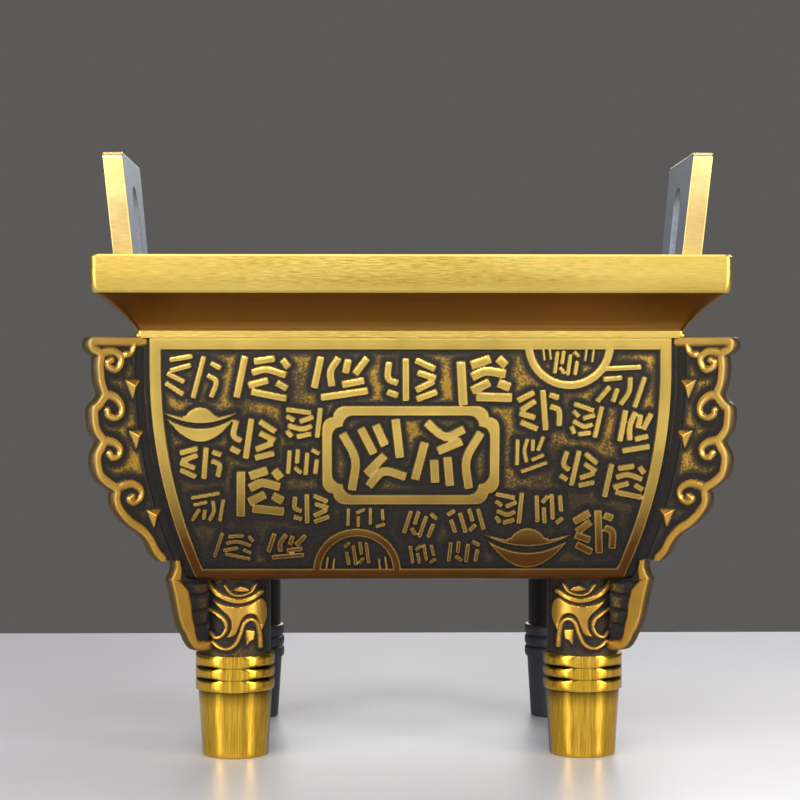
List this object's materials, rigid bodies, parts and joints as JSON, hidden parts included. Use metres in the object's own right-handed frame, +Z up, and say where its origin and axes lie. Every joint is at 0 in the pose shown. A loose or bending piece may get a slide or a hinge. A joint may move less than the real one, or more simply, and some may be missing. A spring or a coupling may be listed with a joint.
{
  "type": "incense burner",
  "caption": "Rectangular cast incense burner with flared rim, scrolled corner wings, ringed round legs and upright slotted handles, open at the top.",
  "frame": {"origin": "on the floor, under the middle of the burner", "axes": "+X to the right along the length, +Y to the back, +Z up; the front panel faces -Y"},
  "size_m": [0.2268, 0.1812, 0.2205],
  "materials": {
    "vessel_brass": "cast brass with a dark brown patina in the ground and polished gold on the raised parts",
    "leg_brass": "polished brass foot and rings, dark patina behind the mask",
    "handle_brass": "brushed brass edges, rough grey cast faces"
  },
  "bodies": {
    "root": {"vessel": "vessel_brass", "leg_front_left": "leg_brass", "leg_front_right": "leg_brass", "leg_back_left": "leg_brass", "leg_back_right": "leg_brass", "handle_left": "handle_brass", "handle_right": "handle_brass"}
  },
  "joints": []
}
